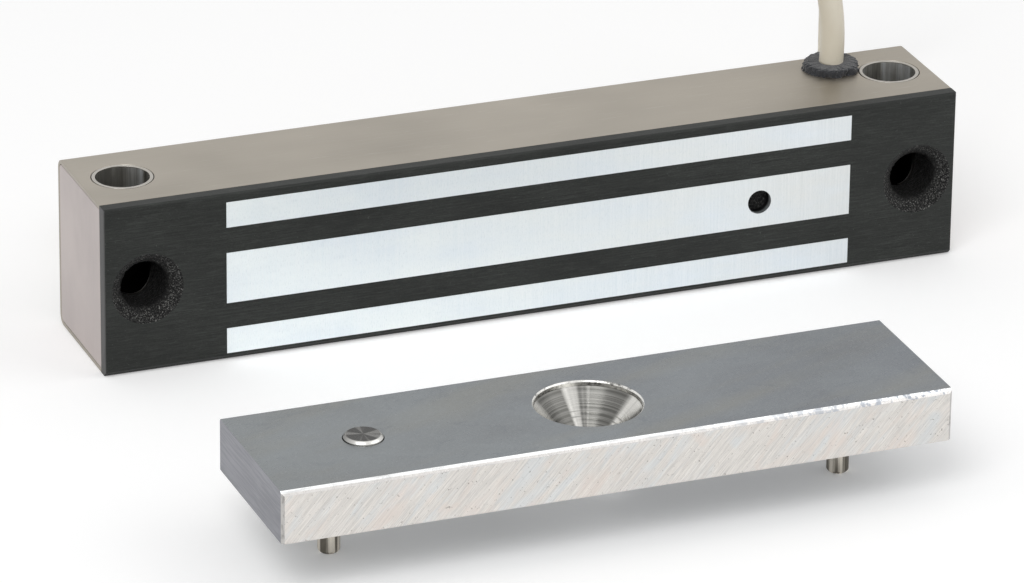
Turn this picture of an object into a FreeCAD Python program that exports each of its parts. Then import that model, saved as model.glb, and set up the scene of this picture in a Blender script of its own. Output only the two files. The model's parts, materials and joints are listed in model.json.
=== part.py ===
import FreeCAD, Part
import math
import os

# Electromagnetic door holder: a potted magnet in a folded steel channel, with its armature plate.
# Millimetres, +X to the right, +Y to the back, +Z up. The origin is the middle of the housing's underside.
# The magnet stands on its underside with its three poles to the front. The armature plate stands in
# front of it on its two dowel pins, contact face up.

Vector = FreeCAD.Vector

# Housing: a folded channel, open at the front, with an end plate set into each end
body_length = 250.0
body_height = 49.0
body_depth = 36.0
sheet = 1.2
bend_radius = 3.0
seam_gap = 0.1

# Resin block that fills the housing and stands proud of its front
resin_proud = 4.0
resin_edge = 0.8
resin_foot = 1.5

# E-shaped core of laminations, its three poles flush with the resin. The middle leg is two legs wide.
core_left_room = 6.7
core_right_room = 4.8
core_cable_room = 2.85
core_top_inset = 2.5
core_bottom_inset = 2.1
core_room_behind = 9.2

# Winding round the middle leg, on its former
former_wall = 0.8
former_clearance = 0.1
former_cover = 1.5
winding_cover = 0.4
winding_corner = 4.0

# Upright mounting tubes, cross-drilled for a wall screw
tube_outer = 16.8
tube_wall = 1.0
tube_gap = 0.2
left_tube_inset = 12.2
right_tube_inset = 11.4
tube_setback = 19.0
head_bore = 13.5
screw_bore = 9.0
mouth_diameter = 20.2
mouth_chamfer = 1.0
mouth_cone_depth = 3.5

# Sensor behind its hole in the middle pole
sensor_bore = 6.9
sensor_inset = 27.25
sensor_recess = 3.0
sensor_cover = 1.2
sensor_width = 4.2
sensor_height = 3.2
sensor_depth = 1.6
sensor_bevel = 0.5
sensor_lead = 0.6
sensor_lead_pitch = 1.27
sensor_lead_count = 3

# Circuit board behind the core, with a disc varistor against voltage spikes
board_length = 41.0
board_height = 20.0
board_thickness = 1.6
board_gap = 2.8
board_right_inset = 22.0
disc_diameter = 7.0
disc_thickness = 3.0
disc_edge = 0.75
disc_shift = 8.0
coil_lead = 1.2
coil_lead_pitch = 6.0
coil_lead_gap = 0.1

# Cable and the soft washer round it
cable_diameter = 6.9
cable_hole_gap = 0.35
cable_inset = 25.6
cable_setback = 10.8
washer_diameter = 15.4
washer_thickness = 2.0
washer_edge = 0.7
washer_gap = 0.1
conductor = 1.4
conductor_pitch = 1.5
conductor_count = 4
conductor_drop = 6.0
conductor_rise = 6.7

# Armature plate, standing on its dowel pins
plate_length = 184.5
plate_width = 48.2
plate_thickness = 14.5
plate_edge = 1.2
plate_corner = 0.8
plate_shift = -33.8
plate_gap = 96.6
dimple_diameter = 28.2
dimple_lip = 1.5
dimple_edge = 0.4
plate_hole = 10.5
dimple_angle = 90.0

# Shouldered dowel pins, their thinner seats pressed into the plate's underside
pin_diameter = 6.0
pin_inset = 21.25
pin_standing = 16.0
pin_point = 0.8
pin_seat_diameter = 5.0
pin_seat = 6.4

# Sprung release button that pushes the plate off the poles
button_diameter = 10.5
button_proud = 1.0
button_height = 4.0
button_bevel = 0.7
button_gap = 0.15
button_inset = 30.55
button_travel = 1.0
spring_space = 5.0
stem_diameter = 4.6
stem_gap = 0.1
web_thickness = 2.4
stop_gap = 0.05
screw_head = 7.6
screw_head_height = 2.2
screw_head_gap = 0.3
screw_head_edge = 0.4
screw_slot = 1.0
screw_slot_depth = 0.8
spring_wire = 0.7
spring_gap = 0.5
spring_turns = 3.5
spring_points = 4
spring_seat = 0.02

# Two points nearer than this are one, and two lines within this many degrees are parallel
same_point = 0.001
parallel_angle = 2.5

# Cable outside: it rises, arches back over the housing, comes down behind it and turns along its back.
# Its points are chosen as steps from the washer's top, then as steps from there on the floor.
cable_route = [
    Vector(-1.0, 0.0, 26.0),
    Vector(6.8, 16.4, 49.5),
    Vector(19.0, 43.2, 59.0),
    Vector(31.4, 70.6, 50.5),
    Vector(38.6, 87.0, 28.0),
    Vector(39.1, 88.2, -24.7),
]
floor_route = [
    Vector(30.0, 67.3, 0.0),
    Vector(17.0, 37.7, 0.0),
]
lane_turn = 8.1

# Cable put away as a flat hank behind the housing, tied at its waist
hank_straight = 105.0
hank_fold_radius = 20.7
hank_lanes = 2
hank_layers = 2
hank_right = 62.0
hank_gap = 7.0
tie_width = 12.0
tie_thickness = 0.8
tie_gap = 0.2
cable_end_length = 14.0
tail_length = 34.0
tail_bare = 8.0
tail_spread = 4.0
copper_diameter = 0.8

# A tail's way out of the jacket: shares of its length, of its drop to the floor and of its fanning out
tail_shape = [(0.0, 0.0, 0.0), (0.35, 0.25, 0.15), (0.7, 0.85, 0.7), (1.0, 1.0, 1.0)]

# Places that follow from the sizes
half_length = body_length / 2
front = -body_depth / 2
back = body_depth / 2
face = front - resin_proud
inner_back = back - sheet
screw_height = body_height / 2
tube_radius = tube_outer / 2
tube_y = back - tube_setback
tubes = {
    "left": -half_length + left_tube_inset,
    "right": half_length - right_tube_inset,
}
core_height = body_height - core_top_inset - core_bottom_inset
core_z = core_bottom_inset + core_height / 2
leg_width = core_height / 6
flange_step = leg_width - former_clearance
core_left = tubes["left"] + tube_radius + core_left_room + flange_step
cable_x = half_length - cable_inset
cable_y = back - cable_setback
cable_radius = cable_diameter / 2
core_right = min(
    tubes["right"] - tube_radius - core_right_room - flange_step,
    cable_x - cable_radius - core_cable_room,
)
pole_length = core_right - core_left
core_shift = (core_left + core_right) / 2
core_back = inner_back - core_room_behind
yoke_front = core_back - leg_width
sensor_x = core_right - sensor_inset
board_front = core_back + board_gap
board_right = half_length - board_right_inset
cable_exit = Vector(cable_x, cable_y, body_height + washer_thickness)
conductor_level = core_z + conductor_rise
jacket_end = conductor_level + conductor_drop
plate_y = face - plate_gap - plate_width / 2
plate_bottom = pin_standing
plate_top = plate_bottom + plate_thickness
pin_spacing = plate_length - 2 * pin_inset
button_x = plate_shift - plate_length / 2 + button_inset
button_floor = plate_top + button_proud - button_height - spring_space
stop_ceiling = button_floor - web_thickness
outer_lane = hank_fold_radius + (hank_lanes - 1) * cable_diameter
hank_half_width = outer_lane + cable_radius
hank_y = back + hank_gap + hank_half_width
front_lane_y = hank_y - outer_lane
back_lane_y = hank_y + outer_lane
hank_waist = hank_lanes * cable_diameter
hank_height = hank_layers * cable_diameter
hank_x = hank_right - hank_half_width - hank_straight / 2


def block(low, high):
    """A box between two corners."""
    size = high - low
    return Part.makeBox(size.x, size.y, size.z, low)


def rod_up(x, y, low, high, radius):
    """A cylinder along Z."""
    return Part.makeCylinder(radius, high - low, Vector(x, y, low), Vector(0, 0, 1))


def rod_back(x, z, low, high, radius):
    """A cylinder along Y."""
    return Part.makeCylinder(radius, high - low, Vector(x, low, z), Vector(0, 1, 0))


def turned(profile, centre, axis):
    """A solid turned from points (radius, distance along the axis)."""
    across = Vector(1, 0, 0)
    points = [centre + across * radius + axis * along for radius, along in profile]
    outline = Part.Face(Part.makePolygon(points + points[:1]))
    return outline.revolve(centre, axis, 360)


def edges_where(shape, test):
    """The straight edges whose two ends both meet a test."""
    found = []
    for edge in shape.Edges:
        if len(edge.Vertexes) == 2 and all(test(vertex.Point) for vertex in edge.Vertexes):
            found.append(edge)
    return found


def along(shape, direction):
    """The straight edges that run along a direction."""
    found = []
    for edge in shape.Edges:
        if len(edge.Vertexes) == 2 and edge.Curve.TypeId == "Part::GeomLine":
            run = edge.Vertexes[1].Point - edge.Vertexes[0].Point
            turn = math.degrees(run.getAngle(direction))
            if min(turn, 180 - turn) < parallel_angle:
                found.append(edge)
    return found


def folded_section(inset):
    """The housing's outline in the YZ plane at a distance inside its outer face, its front side open."""
    radius = bend_radius - inset
    low, high, rear = inset, body_height - inset, back - inset
    corner = radius * (1 - math.sqrt(0.5))
    top_bend = Part.Arc(
        Vector(0, rear - radius, high),
        Vector(0, rear - corner, high - corner),
        Vector(0, rear, high - radius),
    )
    bottom_bend = Part.Arc(
        Vector(0, rear, low + radius),
        Vector(0, rear - corner, low + corner),
        Vector(0, rear - radius, low),
    )
    return [
        Part.makeLine(Vector(0, front, high), Vector(0, rear - radius, high)),
        top_bend.toShape(),
        Part.makeLine(Vector(0, rear, high - radius), Vector(0, rear, low + radius)),
        bottom_bend.toShape(),
        Part.makeLine(Vector(0, rear - radius, low), Vector(0, front, low)),
    ]


def folded_block(inset, low_x, high_x):
    """The solid inside the folded outline, between two planes across X."""
    start = Vector(0, front, inset)
    end = Vector(0, front, body_height - inset)
    outline = Part.Wire(folded_section(inset) + [Part.makeLine(start, end)])
    solid = Part.Face(outline).extrude(Vector(high_x - low_x, 0, 0))
    solid.translate(Vector(low_x, 0, 0))
    return solid


def rounded_slab(half_x, half_z, low_y, high_y, radius):
    """A block round the middle leg's centre, with its edges along Y rounded."""
    low = Vector(core_shift - half_x, low_y, core_z - half_z)
    high = Vector(core_shift + half_x, high_y, core_z + half_z)
    slab = block(low, high)
    if radius:
        slab = slab.makeFillet(radius, along(slab, Vector(0, 1, 0)))
    return slab


def rounded_path(points, share=0.45):
    """Straight runs joined by tangent arcs, each as large as its two runs allow, and the arcs' radii."""
    edges = []
    radii = []
    start = points[0]
    for before, corner, after in zip(points, points[1:], points[2:]):
        arriving = corner - before
        leaving = after - corner
        reach = share * min(arriving.Length, leaving.Length)
        turn = arriving.getAngle(leaving)
        arriving.normalize()
        leaving.normalize()
        radius = reach / math.tan(turn / 2)
        first = corner - arriving * reach
        last = corner + leaving * reach
        inward = (leaving - arriving).normalize()
        middle = corner + inward * (radius / math.cos(turn / 2) - radius)
        if start.distanceToPoint(first) > same_point:
            edges.append(Part.LineSegment(start, first).toShape())
        edges.append(Part.Arc(first, middle, last).toShape())
        radii.append(radius)
        start = last
    edges.append(Part.LineSegment(start, points[-1]).toShape())
    return Part.Wire(edges), radii


def round_tube(points, diameter, share=0.45):
    """A round solid along a rounded path, and the arcs' radii."""
    wire, radii = rounded_path(points, share)
    direction = (points[1] - points[0]).normalize()
    ring = Part.Wire(Part.makeCircle(diameter / 2, points[0], direction))
    return wire.makePipeShell([ring], True, False), radii


def spaced(count, pitch):
    """Offsets of a centred row."""
    return [(i - (count - 1) / 2) * pitch for i in range(count)]


def housing_channel():
    """Folded sheet: top, back and bottom, with its holes."""
    outer = folded_block(0.0, -half_length, half_length)
    inner = folded_block(sheet, -half_length, half_length)
    holes = []
    for x in tubes.values():
        holes.append(rod_up(x, tube_y, -sheet, body_height + sheet, tube_radius + tube_gap))
        holes.append(rod_back(x, screw_height, 0, back + sheet, screw_bore / 2))
    entry_radius = cable_radius + cable_hole_gap
    holes.append(rod_up(cable_x, cable_y, body_height / 2, body_height + sheet, entry_radius))
    return outer.cut([inner] + holes)


def end_plate(side):
    """Flat plate set into the channel's end, flush with it."""
    outer_x = side * half_length
    inner_x = side * (half_length - sheet)
    return folded_block(sheet + seam_gap, min(outer_x, inner_x), max(outer_x, inner_x))


def mounting_tube(x):
    """Upright tube through the housing, cross-drilled for a screw's head and shank."""
    outer = rod_up(x, tube_y, 0, body_height, tube_radius)
    inner = rod_up(x, tube_y, 0, body_height, tube_radius - tube_wall)
    head = rod_back(x, screw_height, face, tube_y, head_bore / 2)
    shank = rod_back(x, screw_height, tube_y, back, screw_bore / 2)
    return outer.cut([inner, head, shank])


def core_laminations():
    """E-shaped stack: three legs to the front on one yoke, drilled for the sensor."""
    half = pole_length / 2
    low = Vector(core_shift - half, face, core_z - core_height / 2)
    high = Vector(core_shift + half, core_back, core_z + core_height / 2)
    stack = block(low, high)
    windows = []
    for side in (-1, 1):
        window_z = core_z + side * 1.5 * leg_width
        window_low = Vector(low.x, face, window_z - leg_width / 2)
        window_high = Vector(high.x, yoke_front, window_z + leg_width / 2)
        windows.append(block(window_low, window_high))
    drilled = rod_back(sensor_x, core_z, face, core_back, sensor_bore / 2)
    return stack.cut(windows + [drilled])


def winding_band(inner_step, outer_step, low_y, high_y):
    """A band round the middle leg between two distances from it."""
    half_x = pole_length / 2
    outer = rounded_slab(half_x + outer_step, leg_width + outer_step, low_y, high_y, winding_corner)
    inner = rounded_slab(half_x + inner_step, leg_width + inner_step, low_y, high_y, 0)
    return outer.cut(inner)


def coil_lead_holes(radius, low_y, high_y):
    """The two winding ends, as rods from the winding to the board."""
    middle = former_clearance + former_wall + (leg_width - former_wall) / 2
    x = core_shift + pole_length / 2 + middle
    return [rod_back(x, core_z + dz, low_y, high_y, radius) for dz in spaced(2, coil_lead_pitch)]


def coil_former():
    """Sleeve over the middle leg with a flange at its front and back."""
    front_y = face + former_cover
    sleeve_step = former_clearance + former_wall
    sleeve = winding_band(former_clearance, sleeve_step, front_y, yoke_front)
    front_flange = winding_band(former_clearance, flange_step, front_y, front_y + former_wall)
    back_flange = winding_band(former_clearance, flange_step, yoke_front - former_wall, yoke_front)
    former = sleeve.fuse([front_flange, back_flange]).removeSplitter()
    return former.cut(coil_lead_holes(coil_lead / 2 + coil_lead_gap, yoke_front - leg_width, core_back))


def coil_winding():
    """Wire wound between the former's flanges, taken as one band."""
    inner_step = former_clearance + former_wall
    outer_step = flange_step - winding_cover
    low_y = face + former_cover + former_wall
    return winding_band(inner_step, outer_step, low_y, yoke_front - former_wall)


def coil_leads():
    """The winding's two ends, out to the board."""
    return Part.makeCompound(coil_lead_holes(coil_lead / 2, yoke_front - former_wall, board_front))


def circuit_board():
    """Flat board behind the core."""
    low = Vector(board_right - board_length, board_front, core_z - board_height / 2)
    high = Vector(board_right, board_front + board_thickness, core_z + board_height / 2)
    return block(low, high)


def surge_suppressor():
    """Disc varistor on the board's back, its edge rounded."""
    back_y = board_front + board_thickness
    x = board_right - board_length / 2 + disc_shift
    disc = rod_back(x, core_z, back_y, back_y + disc_thickness, disc_diameter / 2)
    return disc.makeFillet(disc_edge, [disc.Edges[0]])


def sensor_front():
    """The Y of the sensor's front face."""
    return face + sensor_recess + sensor_cover


def bond_sensor():
    """Small sensor that looks out through the middle pole's hole."""
    low = Vector(sensor_x - sensor_width / 2, sensor_front(), core_z - sensor_height / 2)
    high = Vector(sensor_x + sensor_width / 2, sensor_front() + sensor_depth, core_z + sensor_height / 2)
    body = block(low, high)
    return body.makeChamfer(sensor_bevel, along(body, Vector(0, 0, 1))[:2])


def sensor_leads():
    """The sensor's leads, straight back to the board."""
    start = sensor_front() + sensor_depth
    rods = []
    for dx in spaced(sensor_lead_count, sensor_lead_pitch):
        rods.append(rod_back(sensor_x + dx, core_z, start, board_front, sensor_lead / 2))
    return Part.makeCompound(rods)


def cable_stub():
    """The jacket's buried end, up to the washer's top."""
    return rod_up(cable_x, cable_y, jacket_end, cable_exit.z, cable_radius)


def cable_conductors():
    """Conductors from the jacket's end, each down and then back into the board."""
    wires = []
    for dx in spaced(conductor_count, conductor_pitch):
        points = [
            Vector(cable_x + dx, cable_y, jacket_end),
            Vector(cable_x + dx, cable_y, conductor_level),
            Vector(cable_x + dx, board_front, conductor_level),
        ]
        wires.append(round_tube(points, conductor)[0])
    return Part.makeCompound(wires)


def cable_washer():
    """Soft washer on the housing's top, round the cable."""
    top = cable_exit.z
    disc = rod_up(cable_x, cable_y, body_height, top, washer_diameter / 2)
    disc = disc.makeFillet(washer_edge, [disc.Edges[0]])
    return disc.cut(rod_up(cable_x, cable_y, body_height, top, cable_radius + washer_gap))


def front_opening(x):
    """The screw's way in from the front: a chamfered mouth, a cone and the head's bore."""
    mouth = mouth_diameter / 2
    bore = head_bore / 2
    rim = mouth - mouth_chamfer
    profile = [
        (0.0, 0.0),
        (mouth, 0.0),
        (rim, mouth_chamfer),
        (bore, mouth_cone_depth),
        (bore, tube_y - face),
        (0.0, tube_y - face),
    ]
    return turned(profile, Vector(x, face, screw_height), Vector(0, 1, 0))


def resin_block(buried):
    """Cast block: it fills the channel round what is buried in it, and stands proud in front."""
    filling = folded_block(sheet, -half_length + sheet, half_length - sheet)
    slab = block(Vector(-half_length, face, 0), Vector(half_length, front, body_height))

    def on_face(point):
        return abs(point.y - face) < same_point

    def on_foot(point):
        return on_face(point) and point.z < same_point

    foot = edges_where(slab, on_foot)
    slab = slab.makeChamfer(resin_foot, foot)
    rims = [edge for edge in edges_where(slab, on_face) if edge.BoundBox.ZMax > body_height / 2]
    slab = slab.makeFillet(resin_edge, rims)
    cast = slab.fuse(filling).removeSplitter()
    cuts = list(buried)
    for x in tubes.values():
        cuts.append(rod_up(x, tube_y, -sheet, body_height + sheet, tube_radius))
        cuts.append(rod_back(x, screw_height, tube_y, back, screw_bore / 2))
        cuts.append(front_opening(x))
    cuts.append(rod_back(sensor_x, core_z, face, face + sensor_recess, sensor_bore / 2))
    return cast.cut(cuts)


def armature_plate():
    """Thick steel plate: dimpled screw hole, button bore and the dowels' blind holes."""
    low = Vector(plate_shift - plate_length / 2, plate_y - plate_width / 2, plate_bottom)
    high = Vector(plate_shift + plate_length / 2, plate_y + plate_width / 2, plate_top)
    plate = block(low, high)
    plate = plate.makeChamfer(plate_corner, along(plate, Vector(0, 0, 1)))
    long_edges = along(plate, Vector(1, 0, 0))
    top_edges = [edge for edge in long_edges if edge.CenterOfMass.z > plate_top - plate_edge]
    plate = plate.makeChamfer(plate_edge, top_edges)
    lip = dimple_diameter / 2
    hole = plate_hole / 2
    cone_depth = (lip - hole) / math.tan(math.radians(dimple_angle / 2))
    profile = [
        (0.0, 0.0),
        (lip + dimple_edge, 0.0),
        (lip, -dimple_edge),
        (lip, -dimple_lip),
        (hole, -dimple_lip - cone_depth),
        (hole, -plate_thickness),
        (0.0, -plate_thickness),
    ]
    cuts = [turned(profile, Vector(plate_shift, plate_y, plate_top), Vector(0, 0, 1))]
    button_bore = button_diameter / 2 + button_gap
    cuts.append(rod_up(button_x, plate_y, button_floor, plate_top, button_bore))
    cuts.append(rod_up(button_x, plate_y, stop_ceiling, button_floor, stem_diameter / 2 + stem_gap))
    screw_bay = screw_head / 2 + screw_head_gap
    cuts.append(rod_up(button_x, plate_y, plate_bottom, stop_ceiling, screw_bay))
    for dx in spaced(2, pin_spacing):
        seat_top = plate_bottom + pin_seat
        cuts.append(rod_up(plate_shift + dx, plate_y, plate_bottom, seat_top, pin_seat_diameter / 2))
    return plate.cut(cuts)


def dowel_pin(x):
    """Dowel pin: an eased tip, a shoulder against the plate and its pressed seat."""
    radius = pin_diameter / 2
    seat_radius = pin_seat_diameter / 2
    length = pin_standing + pin_seat
    profile = [
        (0.0, 0.0),
        (radius - pin_point, 0.0),
        (radius, pin_point),
        (radius, pin_standing),
        (seat_radius, pin_standing),
        (seat_radius, length),
        (0.0, length),
    ]
    return turned(profile, Vector(x, plate_y, 0), Vector(0, 0, 1))


def release_button():
    """Turned button: bevelled head, and a stem down to its screw."""
    radius = button_diameter / 2
    top = plate_top + button_proud
    underside = top - button_height
    stem = stem_diameter / 2
    stem_end = stop_ceiling - stop_gap
    profile = [
        (0.0, stem_end),
        (stem, stem_end),
        (stem, underside),
        (radius, underside),
        (radius, top - button_bevel),
        (radius - button_bevel, top),
        (0.0, top),
    ]
    return turned(profile, Vector(button_x, plate_y, 0), Vector(0, 0, 1))


def button_screw():
    """Slotted screw under the stem: its head is the button's stop."""
    top = stop_ceiling - stop_gap
    head = rod_up(button_x, plate_y, top - screw_head_height, top, screw_head / 2)
    head = head.makeChamfer(screw_head_edge, [head.Edges[2]])
    slot_low = Vector(button_x - screw_head, plate_y - screw_slot / 2, top - screw_head_height)
    slot_high = Vector(button_x + screw_head, plate_y + screw_slot / 2, slot_low.z + screw_slot_depth)
    return head.cut(block(slot_low, slot_high))


def button_spring():
    """Coil spring round the stem, between the bore's floor and the button's head."""
    radius = button_diameter / 2 - spring_gap - spring_wire / 2
    height = spring_space - spring_wire - 2 * spring_seat
    low = button_floor + spring_seat + spring_wire / 2
    steps = round(spring_turns * spring_points)
    points = []
    for i in range(steps + 1):
        angle = 2 * math.pi * i / spring_points
        x = button_x + radius * math.cos(angle)
        y = plate_y + radius * math.sin(angle)
        points.append(Vector(x, y, low + height * i / steps))
    return round_tube(points, spring_wire, 0.5)[0]


def hank_outline(margin, low, high):
    """The hank's solid: two round ends and sides drawn in to the tied waist."""
    end_x = hank_straight / 2
    wide = hank_half_width + margin
    narrow = hank_waist + margin
    edges = [
        Part.Arc(Vector(end_x, wide, 0), Vector(0, narrow, 0), Vector(-end_x, wide, 0)).toShape(),
        Part.Arc(Vector(-end_x, wide, 0), Vector(-end_x - wide, 0, 0), Vector(-end_x, -wide, 0)).toShape(),
        Part.Arc(Vector(-end_x, -wide, 0), Vector(0, -narrow, 0), Vector(end_x, -wide, 0)).toShape(),
        Part.Arc(Vector(end_x, -wide, 0), Vector(end_x + wide, 0, 0), Vector(end_x, wide, 0)).toShape(),
    ]
    solid = Part.Face(Part.Wire(edges)).extrude(Vector(0, 0, high - low))
    solid.translate(Vector(hank_x, hank_y, low))
    return solid


def cable_tie():
    """Soft strap round the hank's waist."""
    outer_y = hank_waist + tie_gap + tie_thickness
    outer_top = hank_height + tie_gap + tie_thickness
    outer = block(
        Vector(hank_x - tie_width / 2, hank_y - outer_y, 0),
        Vector(hank_x + tie_width / 2, hank_y + outer_y, outer_top),
    )
    outer = outer.makeFillet(cable_radius, along(outer, Vector(1, 0, 0)))
    inner = block(
        Vector(hank_x - tie_width, hank_y - outer_y + tie_thickness, tie_thickness),
        Vector(hank_x + tie_width, hank_y + outer_y - tie_thickness, outer_top - tie_thickness),
    )
    inner = inner.makeFillet(cable_radius - tie_thickness, along(inner, Vector(1, 0, 0)))
    return outer.cut(inner), inner


def cable_hank():
    """The put-away turns as one solid, drawn in to pass through the tie."""
    solid = hank_outline(0, 0, hank_height)
    tie, opening = cable_tie()
    slice_low = Vector(hank_x - tie_width / 2, hank_y - hank_half_width, -cable_radius)
    slice_high = Vector(hank_x + tie_width / 2, hank_y + hank_half_width, hank_height + cable_radius)
    at_tie = block(slice_low, slice_high)
    return solid.cut(at_tie.cut(opening))


def cable_run(hank):
    """The free cable from the stub's top to the hank, cut off where it joins each of them."""
    floor_start = Vector(cable_x, cable_y, cable_radius)
    points = [cable_exit] + [cable_exit + step for step in cable_route]
    points += [floor_start + step for step in floor_route]
    points.append(Vector(cable_x - lane_turn, front_lane_y, cable_radius))
    points.append(Vector(hank_x + hank_straight / 2, front_lane_y, cable_radius))
    tube, radii = round_tube(points, cable_diameter)
    length = rounded_path(points)[0].Length
    print("cable radii", [round(radius, 1) for radius in radii])
    print("cable tube length", round(length, 1), "volume over section times length",
          round(tube.Volume / (length * math.pi * cable_radius ** 2), 4))
    return tube.cut([hank, cable_stub()])


def tail_points(index):
    """One conductor's way out of the jacket's end: it drops to the floor and fans out."""
    start = Vector(hank_right + cable_end_length, back_lane_y, cable_radius)
    side = spaced(conductor_count, 1.0)[index]
    points = []
    for reach, fall, fan in tail_shape:
        across = side * (conductor_pitch + (tail_spread - conductor_pitch) * fan)
        drop = (cable_radius - conductor / 2) * fall
        points.append(start + Vector(tail_length * reach, across, -drop))
    return points


def cable_end(hank):
    """The jacket's last stretch, from the hank to its stripped end."""
    start = Vector(hank_x + hank_straight / 2, back_lane_y, cable_radius)
    length = hank_right + cable_end_length - start.x
    return Part.makeCylinder(cable_radius, length, start, Vector(1, 0, 0)).cut(hank)


def conductor_tails():
    """Insulated conductors that fan out of the jacket's end."""
    return Part.makeCompound([round_tube(tail_points(i), conductor)[0] for i in range(conductor_count)])


def copper_ends():
    """Stripped ends of the conductors."""
    wires = []
    for i in range(conductor_count):
        points = tail_points(i)
        direction = Vector(points[-1].x - points[-2].x, points[-1].y - points[-2].y, 0).normalize()
        start = points[-1]
        wires.append(Part.makeCylinder(copper_diameter / 2, tail_bare, start, direction))
    return Part.makeCompound(wires)


def build():
    """Every piece of the object by name."""
    nodes = {
        "housing_channel": housing_channel(),
        "end_plate_left": end_plate(-1),
        "end_plate_right": end_plate(1),
        "mounting_tube_left": mounting_tube(tubes["left"]),
        "mounting_tube_right": mounting_tube(tubes["right"]),
    }
    buried = {
        "core_laminations": core_laminations(),
        "coil_former": coil_former(),
        "coil_winding": coil_winding(),
        "coil_leads": coil_leads(),
        "circuit_board": circuit_board(),
        "surge_suppressor": surge_suppressor(),
        "bond_sensor": bond_sensor(),
        "sensor_leads": sensor_leads(),
        "cable_stub": cable_stub(),
        "cable_conductors": cable_conductors(),
    }
    nodes.update(buried)
    nodes["resin_block"] = resin_block(buried.values())
    nodes["cable_washer"] = cable_washer()
    nodes["armature_plate"] = armature_plate()
    nodes["dowel_pin_left"] = dowel_pin(plate_shift - pin_spacing / 2)
    nodes["dowel_pin_right"] = dowel_pin(plate_shift + pin_spacing / 2)
    nodes["release_button"] = release_button()
    nodes["button_screw"] = button_screw()
    nodes["button_spring"] = button_spring()
    hank = cable_hank()
    nodes["cable_hank"] = hank
    nodes["cable_tie"] = cable_tie()[0]
    nodes["cable_run"] = cable_run(hank)
    nodes["cable_end"] = cable_end(hank)
    nodes["conductor_tails"] = conductor_tails()
    nodes["copper_ends"] = copper_ends()
    return nodes


os.makedirs("parts", exist_ok=True)
for name, shape in build().items():
    shape.exportStep(f"parts/{name}.step")
    print(name, "solids", len(shape.Solids), "valid", shape.isValid(), "volume", round(shape.Volume, 1))
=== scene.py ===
"""Dresses the electromagnetic door holder: a potted magnet in a brushed channel, and its armature plate."""
import json
import math

import bmesh
import bpy
from mathutils import Matrix, Vector, noise


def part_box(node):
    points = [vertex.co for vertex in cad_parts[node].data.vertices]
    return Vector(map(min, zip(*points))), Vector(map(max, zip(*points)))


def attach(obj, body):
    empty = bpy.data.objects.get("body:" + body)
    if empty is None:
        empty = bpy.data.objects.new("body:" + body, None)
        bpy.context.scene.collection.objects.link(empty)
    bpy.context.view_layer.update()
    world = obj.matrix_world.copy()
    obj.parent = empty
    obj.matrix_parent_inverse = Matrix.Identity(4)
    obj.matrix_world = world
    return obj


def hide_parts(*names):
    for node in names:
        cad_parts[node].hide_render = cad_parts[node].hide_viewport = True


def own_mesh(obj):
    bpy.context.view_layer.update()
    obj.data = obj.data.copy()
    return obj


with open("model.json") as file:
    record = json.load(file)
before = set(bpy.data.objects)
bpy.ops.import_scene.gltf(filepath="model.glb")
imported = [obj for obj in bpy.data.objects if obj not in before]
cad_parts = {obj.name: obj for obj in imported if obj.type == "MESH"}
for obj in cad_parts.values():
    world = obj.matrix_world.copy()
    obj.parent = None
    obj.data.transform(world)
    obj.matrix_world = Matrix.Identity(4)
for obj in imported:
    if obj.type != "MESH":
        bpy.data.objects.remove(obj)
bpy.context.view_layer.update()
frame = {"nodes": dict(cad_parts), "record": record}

MM = 0.001
UP = Vector((0.0, 0.0, 1.0))
NO_TURN = (0.0, 0.0, 0.0)
WHITE = (1.0, 1.0, 1.0, 1.0)
ROOT = "magnet_and_plate"
BUTTON = "button"

# The camera, fitted to the photograph's edges: degrees, millimetres, and a 36 mm sensor
CAMERA_AZIMUTH = -21.54
CAMERA_ELEVATION = 23.69
CAMERA_ROLL = 0.71
CAMERA_PLACE = Vector((-654.1, -1659.8, 780.7)) * MM
CAMERA_LENS = 246.05
SENSOR_WIDTH = 36.0

# Light: the world's strength for diffuse rays and as it is seen, and the lamps' places, sizes and watts
WORLD_DIFFUSE = 0.62
WORLD_SEEN = 1.0
KEY_PLACE = Vector((-0.9, -1.1, 1.5))
KEY_SIZE = 1.1
KEY_POWER = 15.0
FILL_PLACE = Vector((1.3, -0.7, 1.1))
FILL_SIZE = 1.4
FILL_POWER = 5.0
FLOOR_SIZE = 12.0
FLOOR_LIFT = 0.17

# Sizes that the frame's boxes don't give
MOUTH_RADIUS = 10.1 * MM
MOUTH_CHAMFER = 1.0 * MM
CONE_DEPTH = 3.5 * MM
HOLE_SHADE = 1.0 * MM
DIMPLE_RADIUS = 14.1 * MM
DIMPLE_EDGE = 0.4 * MM

# Cable route, as steps from the washer's top: four points set to the photograph's lean,
# then three as in part.py. After them come steps along the floor from below the cable's exit
CABLE_ROUTE = [
    Vector((1.0, 0.0, 14.0)) * MM,
    Vector((-5.0, 4.0, 37.0)) * MM,
    Vector((3.0, 22.0, 56.5)) * MM,
    Vector((19.0, 46.0, 57.0)) * MM,
    Vector((31.4, 70.6, 50.5)) * MM,
    Vector((38.6, 87.0, 28.0)) * MM,
    Vector((39.1, 88.2, -24.7)) * MM,
]
FLOOR_ROUTE = [
    Vector((30.0, 67.3, 0.0)) * MM,
    Vector((17.0, 37.7, 0.0)) * MM,
]
LANE_TURN = 8.1 * MM

# The put-away hank: lanes side by side, two layers, drawn in to the tie at its middle
HANK_HALF = 52.5 * MM
FOLD_INNER = 20.7 * MM
SIDE_STEPS = 8
FOLD_STEPS = 8
SIDE_LANES = (1, 1, 0, 0, 0, 1)
SIDE_LAYERS = (0, 0, 0, 0, 1, 1, 1)
END_LEVEL = 6.0 * MM
END_FALL = 35.0 * MM
END_STEPS = 6

# A cord: how finely its section and its length are divided, and its spline's order
CORD_ROUNDNESS = 8
CORD_STEPS = 10
CORD_ORDER = 3

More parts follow.
